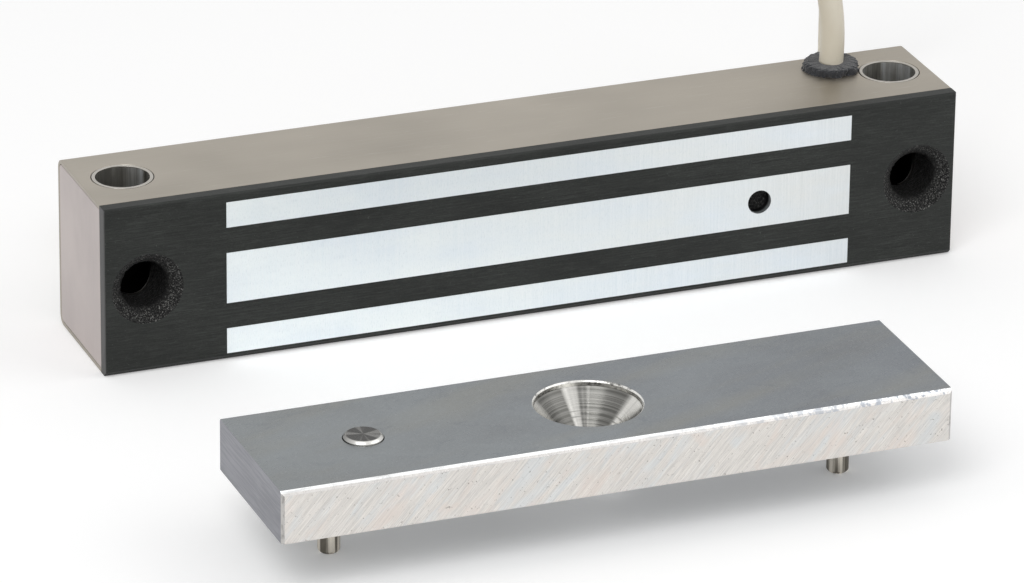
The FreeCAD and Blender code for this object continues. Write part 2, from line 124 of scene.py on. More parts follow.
# Conductors that fan out of the jacket's end: reach, fall and fan as shares at each point
TAIL_SHAPE = [(0.0, 0.0, 0.0), (0.35, 0.25, 0.15), (0.7, 0.85, 0.7), (1.0, 1.0, 1.0)]
TAIL_LENGTH = 34.0 * MM
TAIL_SPREAD = 4.0 * MM
TAIL_PITCH = 1.5 * MM
TAIL_BARE = 8.0 * MM
CONDUCTOR = 1.4 * MM
OUTER_STRANDS = 6
STRAND = 0.26 * MM
STRAND_TURNS = 1.1
STRAND_STEPS = 8
TAIL_COLOURS = {
    "red": (0.42, 0.02, 0.015),
    "black": (0.012, 0.012, 0.013),
    "white": (0.72, 0.71, 0.68),
    "green": (0.02, 0.16, 0.05),
}
LIGHTER_GAIN = 1.3
LIGHTER_LIFT = 0.01

# How a CAD outline is cleaned, and how its edges are rounded or kept sharp
JOIN_DISTANCE = 0.001 * MM
FLAT_ANGLE = math.radians(0.4)
ROUND_ANGLE = math.radians(35.0)
ROUND_SEGMENTS = 2
SHARP_ANGLE = math.radians(30.0)
RING_SHARP_ANGLE = math.radians(70.0)

# Which face of a piece takes which material: a normal's part along an axis, 1 being straight along it
RESIN_END = 0.7
PLATE_END = 0.9
PLATE_LEVEL = 0.95
DIMPLE_LEVEL = 0.98
PLATE_SLANT = 0.3
FRONT_LEEWAY = 0.05 * MM

# Fractal noise for shapes: its exponent, the step from one octave to the next, and its octaves
LUMPY = (0.7, 2.0, 4)
RAGGED = (0.35, 2.1, 6)

# The washer's profile, as shares of its size
WASHER_AROUND = 200
WASHER_ROWS = 18
WASHER_TOP = 0.72
WASHER_SWELL = 0.24
WASHER_FOOT = 0.25
WASHER_CROWN = 0.3

# How the washer's surface is uneven: lumps per metre, and lobes and tears round and up its side
LUMPS = 900.0
LUMP_PUSH = 0.15 * MM
LUMP_LIFT = 0.25 * MM
LOBES_ROUND = 1.6
TEARS_ROUND = 4.0
TEARS_UP = 700.0
TEAR_SHARE = 0.7
WASHER_FLARE = 0.35
FLARE_AT_TOP = 0.35
WASHER_RAG = 1.1 * MM

# The broken resin in a screw opening: bits per metre, their height, and how fast it fades in and out
MOUTH_AROUND = 160
MOUTH_ROWS = 26
MOUTH_BITS = 1500.0
ROUGH_LIFT = 0.3 * MM
ROUGH_REST = 0.5
ROUGH_GAIN = 0.9
FADE_IN = 6.0
FADE_OUT = 4.0
LINING_GAP = 0.02 * MM

# Blender's noise lies mostly between these
NOISE_LOW = 0.3
NOISE_HIGH = 0.7

# Sockets of the Mix node that carry its share and its colours
MIX_SHARE = 0
MIX_FIRST = 6
MIX_SECOND = 7
MIX_RESULT = 2


def box_of(node):
    """A node's lowest and highest corner."""
    low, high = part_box(node)
    return Vector(low), Vector(high)


def mount(name):
    """One of the record's mounts."""
    return next(m for m in frame["record"]["mounts"] if m["name"] == name)


resin_low = box_of("resin_block")[0]
tube_high = box_of("mounting_tube_left")[1]
core_low, core_high = box_of("core_laminations")
plate_low, plate_high = box_of("armature_plate")
washer_low, washer_high = box_of("cable_washer")
stub_low, stub_high = box_of("cable_stub")
hank_low, hank_high = box_of("cable_hank")
end_high = box_of("cable_end")[1]
CABLE_RADIUS = (stub_high.x - stub_low.x) / 2
CABLE_DIAMETER = 2 * CABLE_RADIUS
CABLE_X = (stub_low.x + stub_high.x) / 2
CABLE_Y = (stub_low.y + stub_high.y) / 2
CABLE_EXIT = Vector((CABLE_X, CABLE_Y, washer_high.z))
HANK_X = (hank_low.x + hank_high.x) / 2
HANK_Y = (hank_low.y + hank_high.y) / 2
HANK_START = HANK_X + HANK_HALF
OUTER_LANE = FOLD_INNER + CABLE_DIAMETER
FRONT_LANE_Y = HANK_Y - OUTER_LANE
BACK_LANE_Y = HANK_Y + OUTER_LANE
TUBE_X = {side: mount(side + "_screw_head_bore")["pos_m"][0] for side in ("left", "right")}
TUBE_Y = mount("tube_bolt_holes")["pos_m"][1]
SCREW_Z = mount("left_screw_head_bore")["pos_m"][2]
HEAD_RADIUS = mount("left_screw_head_bore")["dims"]["r_mm"] * MM
SENSOR_X = sum(corner.x for corner in box_of("bond_sensor")) / 2
button_low, button_high = box_of("release_button")
BUTTON_X = (button_low.x + button_high.x) / 2
PLATE_X = (plate_low.x + plate_high.x) / 2
PLATE_Y = (plate_low.y + plate_high.y) / 2


# Camera

def add_camera():
    """A camera at the photograph's place and angle."""
    azimuth = math.radians(CAMERA_AZIMUTH)
    elevation = math.radians(CAMERA_ELEVATION)
    roll = math.radians(CAMERA_ROLL)
    flat = math.cos(elevation)
    back = Vector((math.sin(azimuth) * flat, -math.cos(azimuth) * flat, math.sin(elevation)))
    right = (-back).cross(UP).normalized()
    up = right.cross(-back)
    turned_right = math.cos(roll) * right + math.sin(roll) * up
    turned_up = math.cos(roll) * up - math.sin(roll) * right
    data = bpy.data.cameras.new("camera")
    data.lens = CAMERA_LENS
    data.sensor_width = SENSOR_WIDTH
    camera = bpy.data.objects.new("camera", data)
    place = Matrix((turned_right, turned_up, back)).transposed().to_4x4()
    place.translation = CAMERA_PLACE
    camera.matrix_world = place
    bpy.context.scene.collection.objects.link(camera)
    bpy.context.scene.camera = camera


# Node materials

class Shader:
    """A node material with a Principled shader, and short calls that add to it."""

    def __init__(self, name, colour, roughness, metallic=0.0, **extra):
        self.material = bpy.data.materials.new(name)
        self.material.use_nodes = True
        self.tree = self.material.node_tree
        self.tree.nodes.clear()
        output = self.tree.nodes.new("ShaderNodeOutputMaterial")
        self.bsdf = self.tree.nodes.new("ShaderNodeBsdfPrincipled")
        self.join(self.bsdf.outputs[0], output.inputs[0])
        self.set("Base Color", (*colour, 1.0))
        self.set("Roughness", roughness)
        self.set("Metallic", metallic)
        for socket, value in extra.items():
            self.set(socket.replace("_", " "), value)
        self.height = None
        self.material.diffuse_color = (*colour, 1.0)

    def set(self, socket, value):
        self.bsdf.inputs[socket].default_value = value

    def node(self, kind, **settings):
        made = self.tree.nodes.new("ShaderNode" + kind)
        for key, value in settings.items():
            setattr(made, key, value)
        return made

    def join(self, source, target):
        self.tree.links.new(source, target)

    def place(self, size, turn=NO_TURN):
        """Object coordinates, turned, then divided by the size of a feature in metres."""
        coordinates = self.node("TexCoord")
        mapping = self.node("Mapping", vector_type="TEXTURE")
        mapping.inputs["Rotation"].default_value = turn
        mapping.inputs["Scale"].default_value = size
        self.join(coordinates.outputs["Object"], mapping.inputs["Vector"])
        return mapping.outputs[0]

    def noise(self, size, detail=3.0, rough=0.55, turn=NO_TURN, distortion=0.0):
        """Noise whose features have a size in metres along each axis."""
        made = self.node("TexNoise")
        made.inputs["Scale"].default_value = 1.0
        made.inputs["Detail"].default_value = detail
        made.inputs["Roughness"].default_value = rough
        made.inputs["Distortion"].default_value = distortion
        self.join(self.place(size, turn), made.inputs["Vector"])
        return made.outputs["Fac"]

    def pits(self, size):
        """Distance to the nearest of many scattered points."""
        made = self.node("TexVoronoi")
        made.inputs["Scale"].default_value = 1.0
        self.join(self.place((size, size, size)), made.inputs["Vector"])
        return made.outputs["Distance"]

    def from_axis(self, centre):
        """The level vector from an upright axis, as a node."""
        coordinates = self.node("TexCoord")
        moved = self.node("VectorMath", operation="SUBTRACT")
        moved.inputs[1].default_value = centre
        flat = self.node("VectorMath", operation="MULTIPLY")
        flat.inputs[1].default_value = (1.0, 1.0, 0.0)
        self.join(coordinates.outputs["Object"], moved.inputs[0])
        self.join(moved.outputs[0], flat.inputs[0])
        return flat

    def radius(self, centre):
        """Distance from an upright axis."""
        length = self.node("VectorMath", operation="LENGTH")
        self.join(self.from_axis(centre).outputs[0], length.inputs[0])
        return length.outputs["Value"]

    def rings(self, centre, size):
        """Noise by the distance from an upright axis, as a cutting tool leaves it."""
        scaled = self.node("Math", operation="DIVIDE")
        scaled.inputs[1].default_value = size
        self.join(self.radius(centre), scaled.inputs[0])
        made = self.node("TexNoise", noise_dimensions="1D")
        made.inputs["Scale"].default_value = 1.0
        self.join(scaled.outputs[0], made.inputs["W"])
        return made.outputs["Fac"]

    def sectors(self, centre, size):
        """Noise by the direction from an upright axis, the same all the way out from it."""
        direction = self.node("VectorMath", operation="NORMALIZE")
        scaled = self.node("VectorMath", operation="SCALE")
        scaled.inputs["Scale"].default_value = 1 / size
        made = self.node("TexNoise")
        made.inputs["Scale"].default_value = 1.0
        made.inputs["Detail"].default_value = 3.0
        self.join(self.from_axis(centre).outputs[0], direction.inputs[0])
        self.join(direction.outputs[0], scaled.inputs[0])
        self.join(scaled.outputs[0], made.inputs["Vector"])
        return made.outputs["Fac"]

    def axis_value(self, axis):
        """One object coordinate in metres."""
        coordinates = self.node("TexCoord")
        parts = self.node("SeparateXYZ")
        self.join(coordinates.outputs["Object"], parts.inputs[0])
        return parts.outputs[axis]

    def span(self, source, low=0.0, high=1.0, start=NOISE_LOW, end=NOISE_HIGH):
        """A value moved from the range start to end to the range low to high."""
        made = self.node("MapRange")
        for socket, value in (("From Min", start), ("From Max", end), ("To Min", low), ("To Max", high)):
            made.inputs[socket].default_value = value
        self.join(source, made.inputs["Value"])
        return made.outputs[0]

    def product(self, first, second):
        """One value times another."""
        made = self.node("Math", operation="MULTIPLY")
        self.join(first, made.inputs[0])
        self.join(second, made.inputs[1])
        return made.outputs[0]

    def tint(self, source, colour, amount=1.0, start=NOISE_LOW, end=NOISE_HIGH):
        """Mixes another colour into the base colour, from none at start to the whole amount at end."""
        made = self.node("Mix", data_type="RGBA")
        made.clamp_factor = True
        self.join(self.span(source, high=amount, start=start, end=end), made.inputs[MIX_SHARE])
        base = self.bsdf.inputs["Base Color"]
        if base.links:
            self.join(base.links[0].from_socket, made.inputs[MIX_FIRST])
        else:
            made.inputs[MIX_FIRST].default_value = base.default_value
        made.inputs[MIX_SECOND].default_value = (*colour, 1.0)
        self.join(made.outputs[MIX_RESULT], base)
        return self

    def gloss(self, source, low, high):
        """Roughness between two values."""
        self.join(self.span(source, low, high), self.bsdf.inputs["Roughness"])
        return self

    def bump(self, source, distance, strength=1.0):
        """Adds a bump on top of the ones before it."""
        made = self.node("Bump")
        made.inputs["Strength"].default_value = strength
        made.inputs["Distance"].default_value = distance
        self.join(source, made.inputs["Height"])
        if self.height:
            self.join(self.height, made.inputs["Normal"])
        self.height = made.outputs[0]
        self.join(self.height, self.bsdf.inputs["Normal"])
        return self


def housing_steel():
    """Stainless sheet, brushed along its length, with faint cloudy wear."""
    made = Shader("housing_steel", (0.375, 0.34, 0.29), roughness=0.4, metallic=1.0)
    lines = made.noise((0.035, 0.00022, 0.00022), detail=4.0, rough=0.7)
    cloud = made.noise((0.05, 0.03, 0.03), detail=2.0)
    scratches = made.noise((0.012, 0.0006, 0.0006), detail=5.0, rough=0.75)
    made.tint(made.axis_value("X"), (0.31, 0.275, 0.225), amount=0.8, start=0.0, end=120 * MM)
    made.tint(lines, (0.46, 0.425, 0.37), amount=0.75)
    made.tint(cloud, (0.3, 0.275, 0.235), amount=0.75)
    made.tint(scratches, (0.52, 0.49, 0.44), amount=0.6, start=0.6, end=0.74)
    made.gloss(lines, low=0.32, high=0.52)
    return made.bump(lines, distance=0.00002, strength=0.35).material


def end_steel():
    """End plate: satin, a little pinker, with an upright grain and dull clouds."""
    made = Shader("end_steel", (0.5, 0.45, 0.43), roughness=0.46, metallic=1.0)
    grain = made.noise((0.0003, 0.0003, 0.006), detail=4.0, rough=0.7)
    cloud = made.noise((0.02, 0.02, 0.03))
    made.tint(cloud, (0.36, 0.32, 0.315), amount=0.65)
    made.tint(grain, (0.6, 0.55, 0.54), amount=0.5)
    made.gloss(grain, low=0.4, high=0.55)
    return made.bump(grain, distance=0.00002, strength=0.3).material


def tube_steel():
    """Turned tube: bright rim, streaked inside, with painted glare bands, and darkened further down as
    painted shade.
    """
    made = Shader("tube_steel", (0.72, 0.71, 0.67), roughness=0.3, metallic=1.0)
    streaks = made.noise((0.0009, 0.0009, 0.03), detail=4.0, rough=0.7)
    glare = made.noise((0.005, 0.005, 0.06), detail=2.0, distortion=0.4)
    turned = made.noise((0.02, 0.02, 0.00025), detail=2.0)
    rim = tube_high.z
    # painted highlight: pale glare bands up the inside of the bore
    made.tint(glare, (0.94, 0.97, 1.0), amount=0.8, start=0.5, end=0.62)
    made.tint(streaks, (0.14, 0.13, 0.115), amount=0.6)
    # painted shade: near black from 10 to 24 mm below the rim, where little light gets down the bore
    made.tint(made.axis_value("Z"), (0.02, 0.018, 0.016), start=rim - 10 * MM, end=rim - 24 * MM)
    made.tint(made.axis_value("Z"), (0.42, 0.4, 0.365), start=rim - 0.5 * MM, end=rim - 0.1 * MM)
    made.gloss(glare, low=0.22, high=0.52)
    return made.bump(turned, distance=0.00002, strength=0.3).material


def core_steel():
    """Ground edges of the laminations: pale, slightly blue to the left and greyer to the right."""
    made = Shader("core_steel", (0.94, 1.0, 1.0), roughness=0.45, metallic=1.0)
    sheets = made.noise((0.0005, 0.02, 0.02), detail=2.0, rough=0.6)
    cloud = made.noise((0.03, 0.03, 0.012))
    grain = made.noise((0.0002, 0.0002, 0.0014), rough=0.7)
    specks = made.noise((0.0004, 0.0004, 0.0004), rough=0.7)
    made.tint(made.axis_value("X"), (0.69, 0.71, 0.7), start=core_low.x, end=core_high.x)
    made.tint(cloud, (0.72, 0.8, 0.88), amount=0.6)
    made.tint(sheets, (1.0, 1.0, 1.0), amount=0.2)
    made.tint(grain, (0.6, 0.66, 0.7), amount=0.55, start=0.54, end=0.76)
    made.tint(specks, (0.5, 0.54, 0.58), amount=0.5, start=0.6, end=0.75)
    deep = core_low.y + HOLE_SHADE
    made.tint(made.axis_value("Y"), (0.05, 0.05, 0.052), start=deep, end=deep + HOLE_SHADE)
    made.gloss(grain, low=0.38, high=0.56)
    made.bump(sheets, distance=0.00003, strength=0.35)
    return made.bump(grain, distance=0.00002, strength=0.25).material


def resin():
    """Black cast resin, its front ground along the length."""
    made = Shader("resin", (0.005, 0.006, 0.0055), roughness=0.5, Specular_IOR_Level=0.26)
    lines = made.noise((0.02, 0.00025, 0.00025), detail=4.0, rough=0.7)
    scuffs = made.noise((0.006, 0.0005, 0.0005), detail=4.0, rough=0.75)
    grains = made.noise((0.0005, 0.0003, 0.0003), rough=0.8)
    dust = made.noise((0.0009, 0.0009, 0.0009), rough=0.7)
    cloud = made.noise((0.03, 0.02, 0.015))
    made.tint(lines, (0.04, 0.044, 0.04), amount=0.9)
    made.tint(scuffs, (0.06, 0.064, 0.06), amount=0.7, start=0.5, end=0.72)
    made.tint(grains, (0.045, 0.048, 0.045), amount=0.6, start=0.5, end=0.68)
    made.tint(cloud, (0.006, 0.0065, 0.006), amount=0.5)
    made.tint(dust, (0.11, 0.112, 0.11), amount=0.6, start=0.66, end=0.8)
    made.gloss(lines, low=0.42, high=0.68)
    made.bump(lines, distance=0.00006, strength=0.6)
    return made.bump(dust, distance=0.00005, strength=0.25).material


def resin_lit_side():
    """The proud resin's own end: sawn and rougher than its front, and greyer, the greyness partly painted
    light on this left-facing side.
    """
    # painted light: a base ten times lighter than the front's, for the side lit from the left
    made = Shader("resin_lit_side", (0.05, 0.05, 0.05), roughness=0.6)
    marks = made.noise((0.0004, 0.0004, 0.004), detail=4.0, rough=0.7)
    made.tint(marks, (0.085, 0.084, 0.083), amount=0.7)
    return made.bump(marks, distance=0.00006, strength=0.5).material


def resin_pitted():
    """Broken resin in the screw openings: pitted, with small bright grit specks that are partly painted
    glints, and darker further in as painted shade.
    """
    made = Shader("resin_pitted", (0.003, 0.003, 0.003), roughness=0.6, Specular_IOR_Level=0.3)
    pits = made.pits(0.0008)
    grit_and_glints = made.noise((0.0004, 0.0004, 0.0004), detail=4.0, rough=0.8)
    # painted highlight: grit specks lifted toward pale, partly as glints
    made.tint(grit_and_glints, (0.42, 0.42, 0.4), amount=0.95, start=0.53, end=0.68)
    # painted shade: darker further into the bore, past the chamfer
    painted_shade_from = resin_low.y + 2 * MOUTH_CHAMFER
    painted_shade_to = resin_low.y + CONE_DEPTH
    made.tint(made.axis_value("Y"), (0.001, 0.001, 0.001), amount=0.9, start=painted_shade_from, end=painted_shade_to)
    made.gloss(grit_and_glints, low=0.3, high=0.9)
    return made.bump(pits, distance=0.0006).bump(grit_and_glints, distance=0.0004).material


def plate_top():
    """Zinc plated face: cool grey, finely ground, darker to the right, with faint coloured patches; its base
    is kept far darker than the long sides', partly as painted shade.
    """
    made = Shader("plate_top", (0.21, 0.222, 0.226), roughness=0.3, metallic=1.0)
    grain = made.noise((0.004, 0.0002, 0.0002), detail=4.0, rough=0.7, turn=(0.0, 0.0, 0.5))
    cloud = made.noise((0.035, 0.02, 0.02), distortion=0.6)
    warm = made.noise((0.06, 0.012, 0.02), detail=2.0, turn=(0.0, 0.0, 0.35))
    stains = made.noise((0.012, 0.008, 0.01), detail=4.0, rough=0.7, distortion=1.0)
    flecks = made.noise((0.0004, 0.0004, 0.0004), detail=2.0, rough=0.7)
    made.tint(made.axis_value("X"), (0.165, 0.177, 0.197), start=plate_low.x, end=plate_high.x)
    made.tint(cloud, (0.27, 0.295, 0.31), amount=0.4)
    made.tint(warm, (0.25, 0.24, 0.2), amount=0.35, start=0.5, end=0.72)
    made.tint(stains, (0.13, 0.145, 0.165), amount=0.45, start=0.55, end=0.75)
    made.tint(grain, (0.34, 0.36, 0.37), amount=0.45, start=0.5, end=0.75)
    made.tint(flecks, (0.34, 0.36, 0.37), amount=0.5, start=0.52, end=0.72)
    made.gloss(grain, low=0.24, high=0.42)
    return made.bump(grain, distance=0.00002, strength=0.25).material


def plate_side():
    """Sawn long side: slanting marks, dark specks and a faint iridescent film; its pale base is partly a
    painted reflection of the floor.
    """
    made = Shader("plate_side", (0.72, 0.69, 0.65), roughness=0.34, metallic=1.0)
    slant = (0.0, -0.85, 0.0)
    saw = made.noise((0.012, 0.02, 0.00036), detail=4.0, rough=0.7, turn=slant)
    fine = made.noise((0.006, 0.01, 0.00015), rough=0.7, turn=slant)
    film = made.noise((0.02, 0.02, 0.004), detail=2.0, turn=slant, distortion=0.8)
    second = made.noise((0.014, 0.02, 0.006), detail=2.0, turn=slant, distortion=1.2)
    specks = made.noise((0.0007, 0.0007, 0.0007), rough=0.7)
    made.tint(saw, (0.46, 0.45, 0.44), amount=0.7)
    made.tint(fine, (0.95, 0.92, 0.88), amount=0.6, start=0.45, end=0.7)
    made.tint(film, (0.62, 0.68, 0.72), amount=0.4, start=0.5, end=0.68)
    made.tint(second, (0.74, 0.64, 0.58), amount=0.4, start=0.52, end=0.7)
    made.tint(specks, (0.16, 0.14, 0.12), amount=0.9, start=0.64, end=0.72)
    made.gloss(saw, low=0.26, high=0.46)
    made.bump(saw, distance=0.0001, strength=0.6)
    return made.bump(fine, distance=0.00003, strength=0.5).material


def plate_end():
    """Sawn end: grey-blue with wavy level lines."""
    made = Shader("plate_end", (0.185, 0.19, 0.212), roughness=0.38, metallic=1.0)
    waves = made.noise((0.012, 0.012, 0.0004), detail=2.0, rough=0.5, distortion=0.3)
    cloud = made.noise((0.02, 0.02, 0.012), detail=2.0)
    made.tint(waves, (0.36, 0.36, 0.39), amount=0.7, start=0.4, end=0.6)
    made.tint(cloud, (0.15, 0.155, 0.175), amount=0.35)
    made.gloss(waves, low=0.3, high=0.48)
    return made.bump(waves, distance=0.00006, strength=0.5).material


def plate_edge():
    """The long chamfers: cut bright, with a near white painted highlight along their upper edge, and chatter
    marks across them toward the right end.
    """
    made = Shader("plate_edge", (0.66, 0.64, 0.62), roughness=0.25, metallic=1.0)
    chatter = made.noise((0.0013, 0.004, 0.0012))
    wear = made.noise((0.008, 0.02, 0.0005), rough=0.7)
    top = plate_high.z
    # painted highlight: near white along the chamfer's upper edge
    made.tint(made.axis_value("Z"), (0.96, 0.97, 0.97), start=top - 0.7 * MM, end=top - 0.5 * MM)
    made.tint(wear, (0.5, 0.5, 0.5), amount=0.6, start=0.5, end=0.66)
    right_end = made.span(made.axis_value("X"), start=PLATE_X, end=plate_high.x - 10 * MM)
    marks = made.product(made.span(chatter, start=0.49, end=0.58), right_end)
    made.tint(marks, (0.3, 0.33, 0.38), amount=0.9, start=0.0, end=1.0)
    made.gloss(chatter, low=0.2, high=0.36)
    return made.bump(chatter, distance=0.0001, strength=0.6).material


def plate_corner():
    """The rubbed upright corners: dull, with dark specks."""
    made = Shader("plate_corner", (0.5, 0.49, 0.475), roughness=0.4, metallic=1.0)
    wear = made.noise((0.0012, 0.0012, 0.004), detail=4.0, rough=0.75)
    made.tint(wear, (0.12, 0.11, 0.1), amount=0.7, start=0.5, end=0.66)
    return made.bump(wear, distance=0.0001, strength=0.5).material


def turned_steel(name, colour, bright, centre, pitch):
    """Turned metal, as a shader that takes more marks: fine rings, and light and dark sectors that are a
    painted highlight.
    """
    made = Shader(name, colour, roughness=0.28, metallic=1.0)
    rings = made.rings(centre, pitch)
    # painted highlight: bright sectors round the axis, as turned metal catches light
    made.tint(made.sectors(centre, 0.6), bright, start=0.46, end=0.6)
    made.tint(rings, bright, amount=0.2, start=0.4, end=0.65)
    made.tint(rings, colour, amount=0.5, start=0.66, end=0.72)
    made.gloss(rings, low=0.2, high=0.38)
    return made.bump(rings, distance=0.00004, strength=0.5)


def dimple_steel():
    """The plate's turned dimple, with a bright, ragged lip."""
    centre = (PLATE_X, PLATE_Y, 0.0)
    made = turned_steel("dimple", (0.11, 0.109, 0.102), (0.64, 0.63, 0.6), centre, pitch=0.0006)
    top = plate_high.z
    rag = made.noise((0.0016, 0.0016, 0.001), detail=4.0, rough=0.7)
    lip = made.product(made.span(made.axis_value("Z"), start=top - 1.6 * MM, end=top - 1.3 * MM), rag)
    return made.tint(lip, (0.8, 0.79, 0.76), amount=0.9, start=0.35, end=0.5).material


def button_steel():
    """The button's turned face, its rim given a painted glint toward the front."""
    centre = (BUTTON_X, PLATE_Y, 0.0)
    made = turned_steel("button_face", (0.045, 0.044, 0.042), (0.2, 0.196, 0.188), centre, pitch=0.0004)
    edge = (button_high.x - button_low.x) / 2
    rim = made.radius(centre)
    # painted highlight: a glint on the rim, strongest at the front and fading toward the back
    front = made.span(made.axis_value("Y"), low=1.0, high=0.3, start=PLATE_Y - edge, end=PLATE_Y)
    front_glint = made.product(made.span(rim, start=edge - 0.9 * MM, end=edge - 0.6 * MM), front)
    return made.tint(front_glint, (0.8, 0.79, 0.76), amount=0.9, start=0.0, end=1.0).material


def drawn_steel(name, colour, dark, size, start=NOISE_LOW, end=NOISE_HIGH):
    """Ground or drawn metal with marks along its length."""
    made = Shader(name, colour, roughness=0.28, metallic=1.0)
    streaks = made.noise(size, rough=0.6)
    made.tint(streaks, dark, amount=0.9, start=start, end=end)
    made.gloss(streaks, low=0.2, high=0.36)
    return made.bump(streaks, distance=0.00002, strength=0.4).material


def felt():
    """Soft dark felt, a little blue, with pale fibres, darkened below the top as painted shade on its sides.
    """
    made = Shader("felt", (0.03, 0.032, 0.037), roughness=0.95, Sheen_Weight=0.35, Sheen_Roughness=0.5)
    fibres = made.noise((0.0008, 0.00025, 0.0004), detail=5.0, rough=0.75, distortion=2.0)
    lumps = made.noise((0.0016, 0.0016, 0.0016))
    made.tint(fibres, (0.12, 0.124, 0.132), amount=0.7, start=0.54, end=0.72)
    # painted shade: the felt darker from just under its top down its sides
    top = washer_high.z
    painted_shade_to = top - 2.5 * MM
    made.tint(made.axis_value("Z"), (0.016, 0.017, 0.02), amount=0.8, start=top - 0.6 * MM, end=painted_shade_to)
    made.tint(lumps, (0.014, 0.015, 0.018), amount=0.7)
    made.bump(lumps, distance=0.0004, strength=0.6)
    return made.bump(fibres, distance=0.0002, strength=0.8).material


def jacket():
    """Cream cable jacket: satin, faintly uneven, a little soiled."""
    made = Shader("jacket", (0.7, 0.65, 0.54), roughness=0.32, Specular_IOR_Level=0.5)
    uneven = made.noise((0.006, 0.006, 0.01), detail=2.0)
    soil = made.noise((0.0014, 0.0014, 0.004), detail=4.0, rough=0.7)
    made.tint(uneven, (0.64, 0.58, 0.46), amount=0.5)
    made.tint(soil, (0.46, 0.41, 0.31), amount=0.35, start=0.6, end=0.8)
    made.gloss(soil, low=0.26, high=0.42)
    made.bump(uneven, distance=0.0002, strength=0.15)
    return made.bump(soil, distance=0.00003, strength=0.3).material


def moulded(name, colour, light, roughness=0.45):
    """Moulded plastic with a fine grain."""
    made = Shader(name, colour, roughness)
    grain = made.noise((0.0004, 0.0004, 0.0004))
    made.tint(grain, light, amount=0.4)
    return made.bump(grain, distance=0.00003, strength=0.3).material


def winding():
    """Enamelled copper wire, one turn beside the next."""
    made = Shader("winding", (0.45, 0.16, 0.06), roughness=0.3, metallic=0.9)
    turns = made.noise((0.03, 0.0004, 0.03), detail=1.0, rough=0.3)
    made.tint(turns, (0.62, 0.27, 0.12), amount=0.7)
    return made.bump(turns, distance=0.0002, strength=0.6).material


def woven():
    """Hook and loop strap: dark weave with a matted face."""
    made = Shader("woven", (0.018, 0.018, 0.02), roughness=0.9, Sheen_Weight=0.3)
    loops = made.noise((0.0005, 0.0005, 0.0005), detail=4.0, rough=0.7, distortion=1.5)
    made.tint(loops, (0.06, 0.06, 0.065), amount=0.6)
    return made.bump(loops, distance=0.0004, strength=0.8).material


# Meshes

def link(name, data):
    made = bpy.data.objects.new(name, data)
    bpy.context.scene.collection.objects.link(made)
    return made


def mark_sharp(mesh, angle):
    """Smooth shading, with edges sharper than an angle kept sharp."""
    work = bmesh.new()
    work.from_mesh(mesh)
    for face in work.faces:
        face.smooth = True
    for edge in work.edges:
        edge.smooth = len(edge.link_faces) < 2 or edge.calc_face_angle(0.0) < angle
    work.to_mesh(mesh)
    work.free()


def finer(node, rounding, materials, body=ROOT, pick=None):
    """A piece with a CAD node's outline, its flat facets joined, its edges rounded, and its own materials."""
    work = bmesh.new()
    work.from_mesh(frame["nodes"][node].data)
    bmesh.ops.remove_doubles(work, verts=work.verts, dist=JOIN_DISTANCE)
    bmesh.ops.dissolve_limit(work, angle_limit=FLAT_ANGLE, verts=work.verts, edges=work.edges)
    work.verts.index_update()
    points = [vert.co.copy() for vert in work.verts]
    faces = [[vert.index for vert in face.verts] for face in work.faces]
    chosen = [pick(face.normal, face.calc_center_median()) if pick else 0 for face in work.faces]
    work.free()
    mesh = bpy.data.meshes.new("fine_" + node)
    mesh.from_pydata(points, [], faces)
    for material in materials:
        mesh.materials.append(material)
    for polygon, index in zip(mesh.polygons, chosen):
        polygon.material_index = index
    mark_sharp(mesh, SHARP_ANGLE)
    made = link("fine_" + node, mesh)
    bevel = made.modifiers.new("rounding", "BEVEL")
    bevel.width = rounding
    bevel.segments = ROUND_SEGMENTS
    bevel.limit_method = "ANGLE"
    bevel.angle_limit = ROUND_ANGLE
    bevel.use_clamp_overlap = False
    weighting = made.modifiers.new("weighting", "WEIGHTED_NORMAL")
    weighting.keep_sharp = False
    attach(made, body)
    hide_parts(node)
    return made


def dress(node, material):
    """Gives a CAD node that stays its own material."""
    data = frame["nodes"][node].data
    data.materials.clear()
    data.materials.append(material)


def lathe(name, rows, closed):
    """A mesh of rings: rows of points, each row joined to the next."""
    around = len(rows[0])
    points = [point for row in rows for point in row]
    faces = []
    count = len(rows) if closed else len(rows) - 1
    for row in range(count):
        here = row * around
        after = (row + 1) % len(rows) * around
        for step in range(around):
            turn = (step + 1) % around
            faces.append((here + step, here + turn, after + turn, after + step))
    mesh = bpy.data.meshes.new(name)
    mesh.from_pydata(points, [], faces)
    mark_sharp(mesh, RING_SHARP_ANGLE)
    return link(name, mesh)


def cord_curve(name, rows, radius, material):
    """Round cords along smooth splines, each row of points one spline's control points."""
    curve = bpy.data.curves.new(name, "CURVE")
    curve.dimensions = "3D"
    curve.bevel_depth = radius
    curve.bevel_resolution = CORD_ROUNDNESS
    curve.resolution_u = CORD_STEPS
    curve.use_fill_caps = True
    for row in rows:
        spline = curve.splines.new("NURBS")
        spline.points.add(len(row) - 1)
        for target, point in zip(spline.points, row):
            target.co = (*point, 1.0)
        spline.order_u = min(CORD_ORDER, len(row))
        spline.use_endpoint_u = True
    curve.materials.append(material)
    return link(name, curve)


def ease(share):
    """A smooth step from 0 to 1."""
    return (1 - math.cos(math.pi * share)) / 2


# The cable

def hank_side(side, lane, low, high):
    """One run of the hank, drawn in to the tie. The front run goes left and the back run goes right."""
    spread = FOLD_INNER - CABLE_RADIUS
    points = []
    for step in range(1, SIDE_STEPS):
        across = 2 * step / SIDE_STEPS - 1
        slope = spread / 2 * math.pi / HANK_HALF * math.sin(math.pi * across)
        beside = lane * CABLE_DIAMETER * math.sqrt(1 + slope ** 2)
        y = CABLE_RADIUS + spread * ease(across) + beside
        z = low + (high - low) * ease(step / SIDE_STEPS)
        points.append(Vector((HANK_X - side * across * HANK_HALF, HANK_Y - side * y, z)))
    return points


